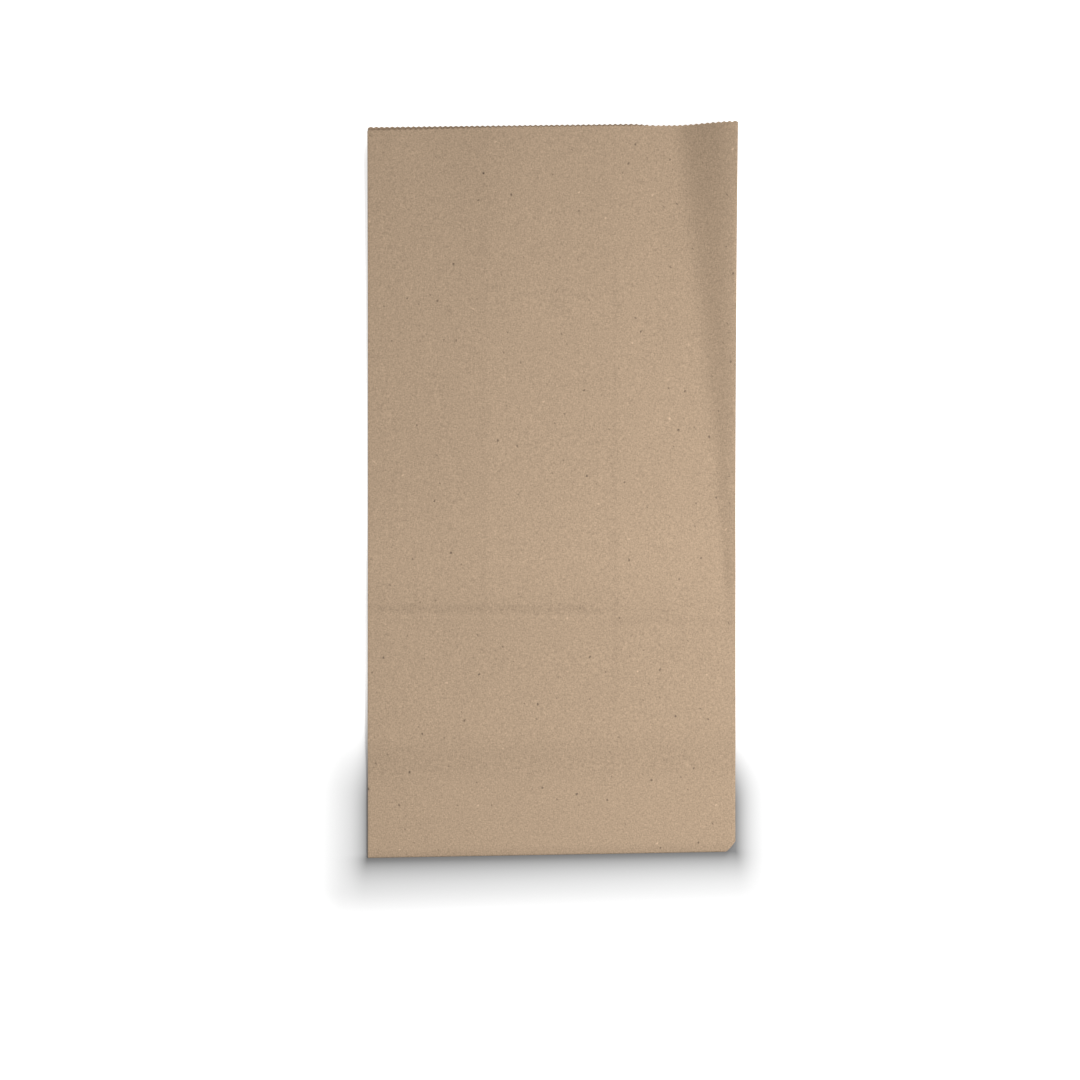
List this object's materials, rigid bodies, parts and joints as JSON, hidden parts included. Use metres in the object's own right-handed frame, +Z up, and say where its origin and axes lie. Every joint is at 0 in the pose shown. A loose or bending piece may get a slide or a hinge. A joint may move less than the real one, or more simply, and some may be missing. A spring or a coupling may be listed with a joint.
{
  "type": "paper bag",
  "caption": "Plain kraft paper bag with side gussets, a pasted block bottom and a pinked mouth, folded flat and lying on its folded-over bottom.",
  "frame": {"origin": "centre of the bounding box's bottom, on the surface that the flat bag lies on", "axes": "+X across the bag, +Y from the bottom fold to the mouth, +Z up from the surface, out of the plain back panel"},
  "size_m": [0.1558, 0.3112, 0.0137],
  "materials": {
    "kraft_paper": "matt uncoated brown kraft with fine fibres and specks"
  },
  "bodies": {
    "root": {"bag": "kraft_paper"}
  },
  "joints": []
}
